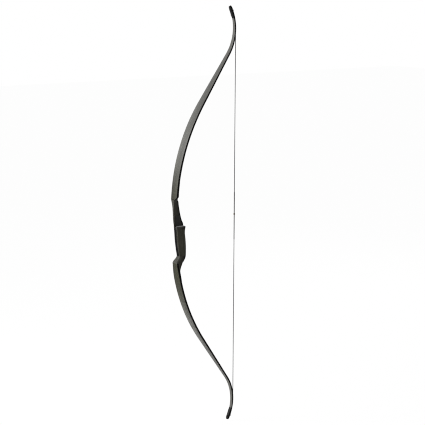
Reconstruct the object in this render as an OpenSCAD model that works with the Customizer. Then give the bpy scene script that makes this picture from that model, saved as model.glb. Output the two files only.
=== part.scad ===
// A strung right-handed recurve bow of 60 inches, all black, without markings.
// The origin is the throat of the grip, where the web of the hand pushes.
// +Z runs to the upper tip, +X to the string and the archer, -Y to the window side.

/* [Bow] */
// Height of the bow's middle above the throat of the grip
middle_z = 35; // [25:1:45]
// Clearance between parts that lie against each other but move apart
clearance = 0.3; // [0.2:0.05:0.5]

/* [Limb path] */
// Distance from the bow's middle to the start of the limb path
path_start_z = 86; // [84:1:90]
// Depth of the limb's back in front of the throat at the start of the path
path_start_x = 39.7; // [38:0.1:41]
// Heading of the limb at the start, in degrees towards the string
start_heading = 3; // [1:0.5:5]
// Radius of the long bend of the working limb
bend_r = 607; // [560:1:660]
// Heading of the straight stretch before the recurve
flat_heading = 34; // [30:0.5:37]
// Length of the straight stretch
flat_len = 187; // [170:1:200]
// Radius of the recurve
recurve_r = 144; // [125:1:165]
// Heading of the tip, turned back towards the target
tip_heading = -22.5; // [-26:0.5:-18]
// Length of the straight tip
tip_len = 17.5; // [14:0.5:24]

/* [Limb section] */
// Width at the root
root_w = 33; // [31:0.5:35]
// Greatest width
broad_w = 35.2; // [35:0.1:38]
// Width at the tip
tip_w = 11.2; // [10:0.1:13]
// Share of the limb's length where it reaches its greatest width
flare_to = 0.2; // [0.15:0.01:0.25]
// Share of the limb's length where the taper starts
taper_from = 0.33; // [0.25:0.01:0.4]
// Share of the limb's length where the taper ends
taper_to = 0.96; // [0.9:0.01:1]
// Thickness at the root
root_t = 7.2; // [6.5:0.1:8]
// Thickness at the tip
tip_t = 4.9; // [4.4:0.1:5.6]
// Thickness of each glass facing
glass_t = 1; // [0.8:0.1:1.3]
// Distance along the limb path from its start to the hinge line
hinge_s = 130; // [120:1:150]
// Gap at the hinge line
hinge_gap = 0.2; // [0.1:0.05:0.3]

/* [Tips] */
// Length over which the end of the limb is rounded off
tip_round_len = 12; // [8:1:16]
// Length of the tip overlay
overlay_len = 42; // [36:1:48]
// Thickness of the tip overlay
overlay_t = 3; // [2.4:0.1:3.6]
// Length of the overlay's ramp
overlay_ramp = 12; // [8:1:16]
// Distance of the nock groove from the end of the limb
nock_from_end = 13; // [11:0.5:16]
// Slant of the nock groove, in degrees
nock_slant = 35; // [25:1:40]
// Depth of the groove across the overlay, where the string's loop lies
nock_depth = 2.4; // [2:0.1:2.6]

/* [Riser] */
// Height of the arrow shelf above the throat
shelf_z = 32.5; // [31:0.5:34]
// How far the sight window is cut past the centre line
window_past = 5; // [4:0.5:7]
// Height of the straight window wall
window_h = 66.5; // [63:0.5:69]
// Radius of the top of the window
window_top_r = 37; // [33:0.5:40]
// Depth of the riser's back in front of the throat, at the window
riser_back = 35.3; // [34:0.1:36.5]
// Distance from the start of the path to the lower limb's root
lower_root_s = 37; // [36:0.5:39]
// Half width of the riser beside the shelf
shelf_half_w = 15; // [14:0.1:16]
// Half width of the grip
grip_half_w = 12.4; // [11.6:0.1:13.2]
// Depth of the grip's front, from the throat, under the shelf
grip_top_depth = 33.6; // [32:0.1:34.5]
// Depth of the grip's front, from the throat, at its foot
grip_foot_depth = 24; // [22:0.1:26]
// Height of the grip's foot below the throat
grip_foot_z = 66; // [63:0.5:68]
// How far the heel of the grip stands behind the throat
heel_out = 4.4; // [3:0.1:6]
// How far the top of the grip stands behind the throat
beak_out = 1.6; // [1:0.1:2.5]
// Thickness of the fade under the upper limb's root
upper_fade_t = 6.6; // [6:0.1:7]
// Thickness of the fade under the lower limb's root
lower_fade_t = 16.5; // [15:0.1:18]
// Length of the steep part of the upper fade
upper_fade_slant = 16; // [14:0.5:20]
// Length of the steep part of the lower fade
lower_fade_slant = 31; // [27:0.5:34]
// Thickness left where the steep part ends
fade_toe_t = 1.4; // [1:0.1:2]
// Whole length of the fades under the limbs
fade_len = 62; // [55:1:75]
// Thickness of the feather edge at the end of the fades
feather_t = 0.4; // [0.3:0.05:0.6]
// How far each edge of the lower limb's root is drawn in where it meets the riser
lower_waist = 3.4; // [2.5:0.1:4.2]
// Length over which the lower limb's root widens again
lower_waist_len = 50; // [40:1:60]

/* [Grip and pads] */
// Thickness of the grip sleeve
sleeve_t = 1.5; // [1.2:0.1:1.8]
// Top of the grip sleeve, below the shelf
sleeve_below_shelf = 8; // [6:0.5:11]
// Foot of the grip sleeve, above the grip's foot
sleeve_above_foot = 2; // [1.5:0.5:4]
// Thickness of the shelf pad
shelf_pad_t = 1.5; // [1:0.1:2]
// Length of the shelf pad along the arrow
shelf_pad_len = 28; // [22:0.5:29]
// Thickness of the strike plate
strike_plate_t = 1.2; // [0.8:0.1:1.6]
// Length of the strike plate along the arrow
strike_plate_len = 18; // [15:0.5:19]
// Height of the strike plate
strike_plate_h = 34; // [25:1:36]

/* [String] */
// Diameter of the bare string
string_d = 2.2; // [1.8:0.1:2.6]
// Diameter of the string in its end servings and loops
end_serving_d = 2.8; // [2.6:0.1:3.2]
// Diameter of the string in its centre serving
centre_serving_d = 3; // [2.7:0.1:3.3]
// Length of the centre serving on each side of the nocking point
centre_serving_half = 80; // [60:1:100]
// Height of the nocking point above the arrow shelf
nock_above_shelf = 12.5; // [10:0.5:14]
// Outer diameter of the nock locator ring
locator_d = 5; // [4.6:0.1:5.6]
// Length of the nock locator ring
locator_len = 5; // [4:0.5:7]
// Gap between the two halves of the string at a bend
string_gap = 0.5; // [0.4:0.05:0.7]

/* [Hidden] */
$fn = 32;

upper = 1;
lower = -1;
corner_steps = 5;
tip_end_share = 0.2;
loop_let_in = 0.6;
least_corner_r = 0.4;
pad_margin = 5;
fade_let_in = 2.5;
fade_side_in = 1;
shelf_pad_inset = 2.5;
shelf_pad_r = 4.5;
strike_plate_r = 3;
locator_above_nock = 3;
bend_len = bend_r * (flat_heading - start_heading) * PI / 180;
recurve_len = recurve_r * (flat_heading - tip_heading) * PI / 180;
limb_len = bend_len + flat_len + recurve_len + tip_len;
path_root = [-path_start_x, path_start_z, start_heading];
path_flat = walk(path_root, bend_len, bend_r);
path_recurve = walk(path_flat, flat_len, 0);
path_tip = walk(path_recurve, recurve_len, -recurve_r);
crest_s = bend_len + flat_len + recurve_r * flat_heading * PI / 180;
nock_s = limb_len - nock_from_end;
end_r = end_serving_d / 2;
string_x = limb_point(crest_s, limb_t(crest_s) + clearance + end_r)[0];
crest_z = limb_point(crest_s, 0)[1];
nock_point_z = shelf_z + nock_above_shelf;
sleeve_top_z = shelf_z - sleeve_below_shelf;
sleeve_foot_z = sleeve_above_foot - grip_foot_z;
loop_half_w = half_w(nock_s) - loop_let_in;
nock_middle_d = (limb_t(nock_s) - overlay_t) / 2;
loop_half_t = (limb_t(nock_s) + overlay_t) / 2 + end_r + clearance;
loop_reach = (loop_half_t - nock_depth / 2) / cos(nock_slant);
loop_across = let (a = limb_path(nock_s)[2] + nock_slant) [cos(a), 0, -sin(a)];
loop_middle = let (c = limb_point(nock_s, nock_middle_d))
    [c[0], 0, c[1]] + nock_depth / 2 / cos(nock_slant) * loop_across;
leg_s = nock_s - loop_half_t * tan(nock_slant) - 2 * end_r - clearance;
upper_step_z = middle_z + path_start_z;
lower_step_z = middle_z - limb_point(lower_root_s, 0)[1];

// A place and heading [x, z, heading] after going s along an arc of radius r, or straight when r is 0
function walk(p, s, r) = r == 0
    ? [p[0] + s * sin(p[2]), p[1] + s * cos(p[2]), p[2]]
    : let (h = p[2] + s / r * 180 / PI)
      [p[0] + r * (cos(p[2]) - cos(h)), p[1] + r * (sin(h) - sin(p[2])), h];

// The limb's back at a distance s along it, with z counted from the bow's middle
function limb_path(s) =
    s < bend_len ? walk(path_root, s, bend_r)
    : s < bend_len + flat_len ? walk(path_flat, s - bend_len, 0)
    : s < bend_len + flat_len + recurve_len ? walk(path_recurve, s - bend_len - flat_len, -recurve_r)
    : walk(path_tip, s - bend_len - flat_len - recurve_len, 0);

// A point [x, z] at depth d below the limb's back
function limb_point(s, d) = let (p = limb_path(s)) [p[0] + d * cos(p[2]), p[1] - d * sin(p[2])];

function ease(q) = let (c = min(1, max(0, q))) c * c * (3 - 2 * c);
function limb_w(s) = let (q = s / limb_len)
    tip_w + (broad_w - tip_w) * (1 - ease((q - taper_from) / (taper_to - taper_from)))
    - (broad_w - root_w) * (1 - ease(q / flare_to));
function limb_t(s) = root_t + (tip_t - root_t) * s / limb_len;

// Half of the width, with the rounded end of the tip
function half_w(s) = let (u = (s - limb_len) / tip_round_len + 1)
    limb_w(s) / 2 * (u > 0 ? sqrt(max(tip_end_share ^ 2, 1 - u * u)) : 1);

// Half of the width of the layers that start at root_s; the lower ones are drawn in towards the riser.
// What is let into the riser before root_s stays inside its sides
function layer_half_w(s, root_s) =
    half_w(s) - (root_s > 0 ? lower_waist * (1 - ease((s - root_s) / lower_waist_len)) : 0)
    - (s < root_s ? fade_side_in : 0);

// Depth of the five surfaces of the laminate: back, under the glass, middle, over the glass, belly
function layer_depth(k, s) = [0, glass_t, limb_t(s) / 2, limb_t(s) - glass_t, limb_t(s)][k];

function reverse(list) = [for (i = [len(list) - 1 : -1 : 0]) list[i]];

// Stations along the limb, closer together round the end of the tip
function even(a, b, n) = [for (i = [0 : n]) a + (b - a) * i / n];
function to_tip(a, n) = concat(
    even(a, limb_len - tip_round_len, n),
    [for (t = [15 : 15 : 75]) limb_len - tip_round_len * (1 - sin(t))], [limb_len]);
function fade_slant(root_s) = root_s > 0 ? lower_fade_slant : upper_fade_slant;
function fade_stations(root_s) = concat(
    even(root_s, root_s + fade_slant(root_s), 6),
    even(root_s + fade_slant(root_s) + 8, root_s + fade_len, 5));
function root_stations(root_s) = concat(
    fade_stations(root_s), even(root_s + fade_len + 10, hinge_s - hinge_gap / 2, 3));
sleeve_stations = even(sleeve_foot_z, sleeve_top_z, 16);
overlay_s = limb_len - overlay_len;
overlay_full_s = overlay_s + overlay_ramp;
tip_stations = concat(even(overlay_s, overlay_full_s, 2), to_tip(overlay_full_s + 3, 5));
limb_stations = concat(even(hinge_s + hinge_gap / 2, overlay_s - 11, 40), tip_stations);

// Monotone curve through hand-picked points [z, value] with rising z
function slope(p, i) = (p[i + 1][1] - p[i][1]) / (p[i + 1][0] - p[i][0]);
function tangent(p, i) = i == 0 ? slope(p, 0) : i == len(p) - 1 ? slope(p, i - 1)
    : let (a = slope(p, i - 1), b = slope(p, i)) a * b <= 0 ? 0 : 2 * a * b / (a + b);
function span(p, z, i = 0) = i >= len(p) - 2 || z < p[i + 1][0] ? i : span(p, z, i + 1);
function curve(p, z) = let (
    i = span(p, z), h = p[i + 1][0] - p[i][0], t = min(1, max(0, (z - p[i][0]) / h)),
    a = p[i][1], b = p[i + 1][1])
    a * (1 + 2 * t) * (1 - t) * (1 - t) + tangent(p, i) * h * t * (1 - t) * (1 - t)
    + b * t * t * (3 - 2 * t) + tangent(p, i + 1) * h * t * t * (t - 1);

// The riser's lines against z: back, belly, the two half widths and the four corner radii
lower_root = limb_point(lower_root_s, 0);
upper_belly = limb_point(0, root_t)[0] + upper_fade_t;
lower_belly = limb_point(lower_root_s, limb_t(lower_root_s))[0] + lower_fade_t;
window_end_z = shelf_z + window_h;
back_line = [
    [lower_step_z, lower_root[0]], [lower_step_z + 2.5, lower_root[0] + 0.3],
    [-grip_foot_z - 4, -grip_foot_depth - 1.5], [-grip_foot_z, -grip_foot_depth],
    [-grip_foot_z + 22, -grip_foot_depth - 3.4], [-10, -(grip_foot_depth + 2 * grip_top_depth) / 3 - 1.2],
    [shelf_z - 12, -grip_top_depth], [shelf_z, -riser_back], [shelf_z + 27, -riser_back],
    [window_end_z - 6, -riser_back - 0.7], [upper_step_z, -path_start_x]
];
belly_line = [
    [lower_step_z, lower_belly], [-grip_foot_z - 3, heel_out - 1.4], [-grip_foot_z + 1, heel_out - 0.4],
    [-40, heel_out], [-12, heel_out * 0.64], [14, 0], [shelf_z - 6, beak_out * 0.5],
    [shelf_z + 1, beak_out], [shelf_z + 8, 0.1], [shelf_z + 18.5, -5.1], [shelf_z + 32, -9.1],
    [shelf_z + 46, -12.4], [shelf_z + 59, -14.8], [shelf_z + 74, -17.5], [shelf_z + 82, -20.1],
    [upper_step_z, upper_belly]
];
far_line = [
    [lower_step_z, half_w(lower_root_s) - lower_waist], [-grip_foot_z, grip_half_w - 0.2],
    [-20, grip_half_w], [shelf_z - 15, grip_half_w + 0.5], [shelf_z, shelf_half_w - 1.2],
    [shelf_z + 20, 15.3], [window_end_z - 6, 16.1], [upper_step_z, half_w(0)]
];
near_line = [
    [lower_step_z, half_w(lower_root_s) - lower_waist], [-grip_foot_z, grip_half_w - 0.2],
    [-20, grip_half_w], [shelf_z - 15, grip_half_w + 0.7], [shelf_z - 5, shelf_half_w - 0.5],
    [shelf_z, shelf_half_w], [shelf_z + 20, 16], [upper_step_z, half_w(0)]
];
back_far_r = [
    [lower_step_z, 1.2], [-grip_foot_z, 6.5], [20, 7], [shelf_z, 9.5],
    [shelf_z + 20, 6], [window_end_z, 3], [upper_step_z, 1.2]
];
back_near_r = [[lower_step_z, 1.2], [-grip_foot_z, 6.5], [shelf_z, 7.5], [shelf_z + 20, 4], [upper_step_z, 1.2]];
belly_far_r = [
    [lower_step_z, 2], [-grip_foot_z, 11], [shelf_z - 5, 11.5],
    [shelf_z + 20, 6], [window_end_z, 3], [upper_step_z, 1.2]
];
belly_near_r = [[lower_step_z, 2], [-grip_foot_z, 11], [shelf_z, 11.5], [shelf_z + 20, 4], [upper_step_z, 1.2]];

// One rounded corner: its centre lies a radius in from the corner, and a0 is where its arc starts
function corner(x, y, sx, sy, r, a0) = [for (i = [0 : corner_steps])
    let (a = a0 + 90 * i / corner_steps) [x - sx * r + r * cos(a), y - sy * r + r * sin(a)]];

// The riser's outline at height z, drawn in by inset
function riser_ring(z, inset = 0) = let (
    xb = curve(back_line, z) + inset, xf = curve(belly_line, z) - inset,
    yf = curve(far_line, z) - inset, yn = -curve(near_line, z) + inset,
    most = min((xf - xb) / 2, (yf - yn) / 2) - least_corner_r,
    r = [for (line = [belly_far_r, back_far_r, back_near_r, belly_near_r])
        max(least_corner_r, min(curve(line, z) - inset, most))])
    [for (p = concat(corner(xf, yf, 1, 1, r[0], 0), corner(xb, yf, -1, 1, r[1], 90),
        corner(xb, yn, -1, -1, r[2], 180), corner(xf, yn, 1, -1, r[3], 270))) [p[0], p[1], z]];

// The riser's last ring, leaning with the end of the limb that butts against it
function end_ring(z, lean) = [for (p = riser_ring(z)) [p[0], p[1], z - lean * (p[0] - curve(back_line, z))]];

// A closed solid through rings of equal length; the first and last rings are its ends
module skin(rings) {
    n = len(rings[0]);
    m = len(rings);
    polyhedron(
        points = [for (ring = rings) for (p = ring) p],
        faces = concat(
            [[for (i = [0 : n - 1]) i]],
            [[for (i = [n - 1 : -1 : 0]) (m - 1) * n + i]],
            [for (j = [0 : m - 2]) for (i = [0 : n - 1])
                let (k = (i + 1) % n) [j * n + i, (j + 1) * n + i, (j + 1) * n + k]],
            [for (j = [0 : m - 2]) for (i = [0 : n - 1])
                let (k = (i + 1) % n) [j * n + i, (j + 1) * n + k, j * n + k]]));
}

// Puts a piece drawn from the bow's middle on the upper or the lower side
module on_side(side) {
    translate([0, 0, middle_z])
        mirror([0, 0, side == lower ? 1 : 0])
            children();
}

// A closed tube through rings of equal length, whose last ring joins its first
module ring_skin(rings) {
    n = len(rings[0]);
    m = len(rings);
    polyhedron(
        points = [for (ring = rings) for (p = ring) p],
        faces = [for (j = [0 : m - 1]) for (i = [0 : n - 1]) for (half = [0, 1])
            let (k = (i + 1) % n, l = (j + 1) % m)
            half == 0 ? [j * n + i, l * n + i, l * n + k] : [j * n + i, l * n + k, j * n + k]]);
}

// A strip of laminate between two depths, each given at every station
module strip(stations, top, bottom, root_s = 0) {
    skin([for (i = [0 : len(stations) - 1])
        let (s = stations[i], a = limb_point(s, top[i]), b = limb_point(s, bottom[i]), w = layer_half_w(s, root_s))
        [[a[0], w, a[1]], [a[0], -w, a[1]], [b[0], -w, b[1]], [b[0], w, b[1]]]]);
}

// One of the four layers of the laminate: 0 back glass, 1 back core, 2 belly core, 3 belly glass
module laminate(stations, k, root_s = 0) {
    strip(stations, [for (s = stations) layer_depth(k, s)], [for (s = stations) layer_depth(k + 1, s)], root_s);
}

// The wedge of the riser that feathers out under a limb's root
function fade_t(s, root_s, t) =
    curve([[root_s, t], [root_s + fade_slant(root_s), fade_toe_t], [root_s + fade_len, feather_t]], s);
module fade(side, root_s, t) {
    stations = concat([root_s - fade_let_in], fade_stations(root_s));
    on_side(side)
        strip(stations, [for (s = stations) limb_t(s)],
            [for (s = stations) limb_t(s) + fade_t(s, root_s, t)], root_s);
}

// The sight window: a wall past the centre line, a flat shelf and a rounded top
module window_cut() {
    outside = -2 * shelf_half_w;
    translate([-2 * riser_back, 0, 0])
        rotate([90, 0, 90])
            linear_extrude(3 * riser_back)
                polygon(concat(
                    [[outside, shelf_z], [window_past, shelf_z]],
                    [for (a = [0 : 8 : 80])
                        [window_past - window_top_r * (1 - cos(a)), window_end_z + window_top_r * sin(a)]],
                    [[outside, window_end_z + window_top_r * sin(80)]]));
}

module riser_block() {
    color([0.13, 0.13, 0.12]) {
        difference() {
            union() {
                skin(concat([for (z = even(sleeve_top_z, upper_step_z, 26)) if (z < upper_step_z - 1) riser_ring(z)],
                    [end_ring(upper_step_z, tan(start_heading))]));
                fade(upper, 0, upper_fade_t);
            }
            window_cut();
        }
        skin([for (z = sleeve_stations) riser_ring(z, sleeve_t)]);
        skin(concat([end_ring(lower_step_z, -tan(limb_path(lower_root_s)[2]))],
            [for (z = concat(even(-grip_foot_z - 17, -grip_foot_z, 6), [sleeve_foot_z])) riser_ring(z)]));
        fade(lower, lower_root_s, lower_fade_t);
    }
}

module grip_sleeve() {
    color([0.17, 0.16, 0.14])
        difference() {
            skin([for (z = sleeve_stations) riser_ring(z)]);
            skin(concat([[for (p = riser_ring(sleeve_foot_z, sleeve_t)) [p[0], p[1], sleeve_foot_z - 1]]],
                [for (z = sleeve_stations) riser_ring(z, sleeve_t)],
                [[for (p = riser_ring(sleeve_top_z, sleeve_t)) [p[0], p[1], sleeve_top_z + 1]]]));
        }
}

// A flat plate with rounded corners between its low and high corners
module plate(low, high, r, t) {
    corners = [[high, 1, 1], [[low[0], high[1]], -1, 1], [low, -1, -1], [[high[0], low[1]], 1, -1]];
    linear_extrude(t)
        polygon([for (k = [0 : 3]) for (i = [0 : 4])
            let (c = corners[k], a = 90 * k + 22.5 * i)
            [c[0][0] - c[1] * r + r * cos(a), c[0][1] - c[2] * r + r * sin(a)]]);
}

module shelf_pad() {
    color([0.2, 0.2, 0.19])
        translate([-riser_back + pad_margin, 0, shelf_z])
            plate([0, shelf_pad_inset - shelf_half_w],
                [shelf_pad_len, window_past - strike_plate_t - clearance], shelf_pad_r, shelf_pad_t);
}

module strike_plate() {
    color([0.1, 0.1, 0.1])
        translate([-riser_back + pad_margin, window_past, shelf_z + shelf_pad_t])
            rotate([90, 0, 0])
                plate([0, 0], [strike_plate_len, strike_plate_h], strike_plate_r, strike_plate_t);
}

// The two slanted grooves in the limb's edges that hold the string's loop
module nock_cut() {
    c = limb_point(nock_s, nock_middle_d);
    for (y = [-1, 1])
        translate([c[0], y * loop_half_w, c[1]])
            rotate([0, 90 + limb_path(nock_s)[2] + nock_slant, 0])
                cylinder(r = end_r + clearance, h = 6 * root_t, center = true);
}

// The window's rounded top also cuts the near corner of the upper limb's root
module root_lamination(side, k) {
    difference() {
        let (root_s = side == upper ? 0 : lower_root_s)
            on_side(side) laminate(root_stations(root_s), k, root_s);
        window_cut();
    }
}

module limb_lamination(side, k) {
    on_side(side)
        difference() {
            laminate(limb_stations, k);
            nock_cut();
        }
}

module tip_overlay(side) {
    on_side(side)
        difference() {
            strip(tip_stations,
                [for (s = tip_stations)
                    -min(overlay_t, feather_t + (overlay_t - feather_t) * (s - overlay_s) / overlay_ramp)],
                [for (s = tip_stations) 0]);
            nock_cut();
            translate(loop_middle - loop_reach * loop_across)
                rotate([90, 0, 0])
                    cylinder(r = end_r + clearance, h = 2 * tip_w, center = true);
        }
}

// The loop round the tip, lying in the grooves as one closed ring of string
module string_loop(side) {
    bend = end_r + 0.5;
    heading = limb_path(nock_s)[2] + nock_slant;
    normal = [sin(heading), 0, cos(heading)];
    centres = [for (k = [0 : 3]) for (i = [0 : 4])
        let (a = 90 * k + 22.5 * i, sy = k == 0 || k == 3 ? 1 : -1, se = k < 2 ? 1 : -1)
        [sy * (loop_half_w - bend) + bend * cos(a), se * (loop_reach - bend) + bend * sin(a), a]];
    on_side(side)
        translate(loop_middle)
            ring_skin([for (p = centres) [for (f = [0 : 45 : 315])
                let (out = p[0] * [0, 1, 0] + p[1] * loop_across)
                out + end_r * cos(f) * (cos(p[2]) * [0, 1, 0] + sin(p[2]) * loop_across) + end_r * sin(f) * normal]]);
}

// The served leg of the string that lies along the recurve, from the loop to where it leaves the limb
module end_serving(side) {
    centre = function(s) limb_point(s, limb_t(s) + clearance + end_r);
    first = limb_path(leg_s);
    circle_at = function(p, h, r) [for (f = [0 : 45 : 315])
        [p[0] + r * cos(f) * cos(h), r * sin(f), p[1] - r * cos(f) * sin(h)]];
    cap = [for (a = [20 : 25 : 70]) circle_at(
        centre(leg_s) + end_r * cos(a) * [sin(first[2]), cos(first[2])], first[2], end_r * sin(a))];
    leg = [for (s = even(leg_s, crest_s, 10)) circle_at(centre(s), limb_path(s)[2], end_r)];
    last = [[for (p = leg[10]) [p[0], p[1], p[2] + string_gap / 2]]];
    on_side(side) skin(reverse(concat(cap, [for (i = [0 : 9]) leg[i]], last)));
}

module string_half(side) {
    start = nock_point_z + side * centre_serving_half;
    end = middle_z + side * (crest_z - string_gap / 2);
    translate([string_x, 0, min(start, end)]) cylinder(d = string_d, h = abs(end - start));
}

module centre_serving(side) {
    inner = nock_point_z + side * string_gap / 2;
    outer = nock_point_z + side * centre_serving_half;
    translate([string_x, 0, min(inner, outer)]) cylinder(d = centre_serving_d, h = abs(outer - inner));
}

module upper_root_back_glass() { color([0.3, 0.3, 0.29]) root_lamination(upper, 0); }
module upper_root_back_core() { color([0.3, 0.22, 0.15]) root_lamination(upper, 1); }
module upper_root_belly_core() { color([0.3, 0.22, 0.15]) root_lamination(upper, 2); }
module upper_root_belly_glass() { color([0.08, 0.08, 0.08]) root_lamination(upper, 3); }
module lower_root_back_glass() { color([0.3, 0.3, 0.29]) root_lamination(lower, 0); }
module lower_root_back_core() { color([0.3, 0.22, 0.15]) root_lamination(lower, 1); }
module lower_root_belly_core() { color([0.3, 0.22, 0.15]) root_lamination(lower, 2); }
module lower_root_belly_glass() { color([0.08, 0.08, 0.08]) root_lamination(lower, 3); }
module upper_back_glass() { color([0.42, 0.42, 0.4]) limb_lamination(upper, 0); }
module upper_back_core() { color([0.3, 0.22, 0.15]) limb_lamination(upper, 1); }
module upper_belly_core() { color([0.3, 0.22, 0.15]) limb_lamination(upper, 2); }
module upper_belly_glass() { color([0.08, 0.08, 0.08]) limb_lamination(upper, 3); }
module lower_back_glass() { color([0.42, 0.42, 0.4]) limb_lamination(lower, 0); }
module lower_back_core() { color([0.3, 0.22, 0.15]) limb_lamination(lower, 1); }
module lower_belly_core() { color([0.3, 0.22, 0.15]) limb_lamination(lower, 2); }
module lower_belly_glass() { color([0.08, 0.08, 0.08]) limb_lamination(lower, 3); }
module upper_tip_overlay() { color([0.05, 0.05, 0.05]) tip_overlay(upper); }
module lower_tip_overlay() { color([0.05, 0.05, 0.05]) tip_overlay(lower); }
module upper_string_loop() { color([0.04, 0.04, 0.04]) string_loop(upper); }
module lower_string_loop() { color([0.04, 0.04, 0.04]) string_loop(lower); }
module upper_end_serving() { color([0.04, 0.04, 0.04]) end_serving(upper); }
module lower_end_serving() { color([0.04, 0.04, 0.04]) end_serving(lower); }
module upper_string() { color([0.07, 0.07, 0.07]) string_half(upper); }
module lower_string() { color([0.07, 0.07, 0.07]) string_half(lower); }
module upper_centre_serving() { color([0.04, 0.04, 0.04]) centre_serving(upper); }
module lower_centre_serving() { color([0.04, 0.04, 0.04]) centre_serving(lower); }
module nock_locator() {
    color([0.75, 0.6, 0.3])
        translate([string_x, 0, nock_point_z + locator_above_nock])
            difference() {
                cylinder(d = locator_d, h = locator_len);
                translate([0, 0, -1]) cylinder(d = centre_serving_d, h = locator_len + 2);
            }
}

riser_block();
grip_sleeve();
shelf_pad();
strike_plate();
upper_root_back_glass();
upper_root_back_core();
upper_root_belly_core();
upper_root_belly_glass();
lower_root_back_glass();
lower_root_back_core();
lower_root_belly_core();
lower_root_belly_glass();
upper_back_glass();
upper_back_core();
upper_belly_core();
upper_belly_glass();
lower_back_glass();
lower_back_core();
lower_belly_core();
lower_belly_glass();
upper_tip_overlay();
lower_tip_overlay();
upper_string_loop();
lower_string_loop();
upper_end_serving();
lower_end_serving();
upper_string();
lower_string();
upper_centre_serving();
lower_centre_serving();
nock_locator();
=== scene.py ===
import math
import bpy
from mathutils import Matrix, Vector


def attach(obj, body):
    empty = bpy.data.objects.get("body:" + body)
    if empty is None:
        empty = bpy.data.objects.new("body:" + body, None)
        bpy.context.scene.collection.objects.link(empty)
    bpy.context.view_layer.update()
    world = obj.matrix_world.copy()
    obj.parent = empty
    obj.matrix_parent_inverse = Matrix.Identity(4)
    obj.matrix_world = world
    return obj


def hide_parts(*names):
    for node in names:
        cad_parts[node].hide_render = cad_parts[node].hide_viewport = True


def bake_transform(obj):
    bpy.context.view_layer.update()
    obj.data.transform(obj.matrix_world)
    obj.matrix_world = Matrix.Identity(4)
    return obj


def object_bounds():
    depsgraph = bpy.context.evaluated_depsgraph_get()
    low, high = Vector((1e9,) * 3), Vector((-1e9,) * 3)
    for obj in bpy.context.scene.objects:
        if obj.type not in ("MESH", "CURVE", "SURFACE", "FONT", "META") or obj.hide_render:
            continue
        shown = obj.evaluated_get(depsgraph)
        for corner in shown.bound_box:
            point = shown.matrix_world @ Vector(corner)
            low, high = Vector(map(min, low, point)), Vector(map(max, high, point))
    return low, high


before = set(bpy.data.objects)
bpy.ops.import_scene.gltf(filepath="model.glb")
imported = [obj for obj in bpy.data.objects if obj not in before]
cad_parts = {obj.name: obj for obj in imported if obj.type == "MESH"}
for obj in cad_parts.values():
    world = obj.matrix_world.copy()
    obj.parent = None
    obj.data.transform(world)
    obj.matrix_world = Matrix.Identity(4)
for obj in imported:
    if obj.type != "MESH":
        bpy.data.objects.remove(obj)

# The camera stands where the photograph was taken: on the target side, towards the window side
MM = 0.001
AIM = Vector((111.2, -0.5, 64.9)) * MM
CAMERA_AZIMUTH = -34.31
CAMERA_ELEVATION = 11.08
CAMERA_ROLL = 0.247
CAMERA_DISTANCE = 4030.6 * MM
LENS = 103.6
SEEN_FROM, SEEN_TO = 0.05, 50
PIXEL_FILTER = 1.1
cad_low, cad_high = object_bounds()


def make_camera():
    azimuth, elevation, roll = (math.radians(a) for a in (CAMERA_AZIMUTH, CAMERA_ELEVATION, CAMERA_ROLL))
    level = math.cos(elevation)
    back = Vector((math.sin(azimuth) * level, -math.cos(azimuth) * level, math.sin(elevation)))
    right = Vector((math.cos(azimuth), math.sin(azimuth), 0))
    up = back.cross(right)
    rolled_right = right * math.cos(roll) + up * math.sin(roll)
    rolled_up = up * math.cos(roll) - right * math.sin(roll)
    bpy.ops.object.camera_add()
    camera = bpy.context.object
    camera.data.lens = LENS
    camera.data.clip_start, camera.data.clip_end = SEEN_FROM, SEEN_TO
    camera.matrix_world = Matrix.Translation(AIM + back * CAMERA_DISTANCE) @ Matrix(
        (rolled_right, rolled_up, back)).transposed().to_4x4()
    bpy.context.scene.camera = camera


make_camera()
bpy.context.scene.view_settings.view_transform = "Standard"
bpy.context.scene.cycles.filter_width = PIXEL_FILTER

# Driving sizes in millimetres and degrees, the same as the construction's
MIDDLE_Z = 35
CLEARANCE = 0.3
UPPER, LOWER = 1, -1

# The limbs: an arc, a straight, the recurve's arc and a straight tip. Headings lean from upright to the archer
PATH_START = (-39.7, 86, 3)
BEND_R = 607
FLAT_HEADING = 34
FLAT_LEN = 187
RECURVE_R = 144
TIP_HEADING = -22.5
TIP_LEN = 17.5
ROOT_W, BROAD_W, TIP_W = 33, 35.2, 11.2
FLARE_TO, TAPER_FROM, TAPER_TO = 0.2, 0.33, 0.96
ROOT_T, TIP_T, GLASS_T = 7.2, 4.9, 1
HINGE_S, BEND_HALF = 130, 62
LOWER_ROOT_S = 37
LOWER_WAIST, LOWER_WAIST_LEN = 3.4, 50
TIP_ROUND_LEN, TIP_LEAST = 12, 0.04
GLASS_EDGE_R, SHARP_R = 0.7, 0.04

# The tips: an overlay on the back and slanted nock grooves in the sides
OVERLAY_LEN, OVERLAY_T, OVERLAY_RAMP = 42, 3, 12
OVERLAY_DROP, OVERLAY_DROP_LEN, GROOVE_LIP = 0.6, 4, 0.6
NOCK_FROM_END, NOCK_SLANT, NOCK_DEPTH, NOCK_BITE = 13, 35, 2.4, 0.6

# The riser: shelf, window, grip and the fades that the limbs' roots lie on
SHELF_Z = 32.5
WINDOW_PAST, WINDOW_H, WINDOW_TOP_R = 5, 66.5, 37
RISER_BACK = 35.3
SHELF_HALF_W, GRIP_HALF_W = 15, 12.4
GRIP_TOP_DEPTH, GRIP_FOOT_DEPTH, GRIP_FOOT_Z = 33.6, 24, 66
HEEL_OUT, BEAK_OUT = 4.4, 1.6
UPPER_FADE_T, LOWER_FADE_T = 6.6, 16.5
UPPER_SLANT, LOWER_SLANT = 16, 31
FADE_TOE_T, FADE_LEN, FEATHER_T = 1.4, 62, 0.4
FADE_EDGE_R, STEP_EDGE_R, WALL_EDGE_R = 1.2, 0.6, 1.8

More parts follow.
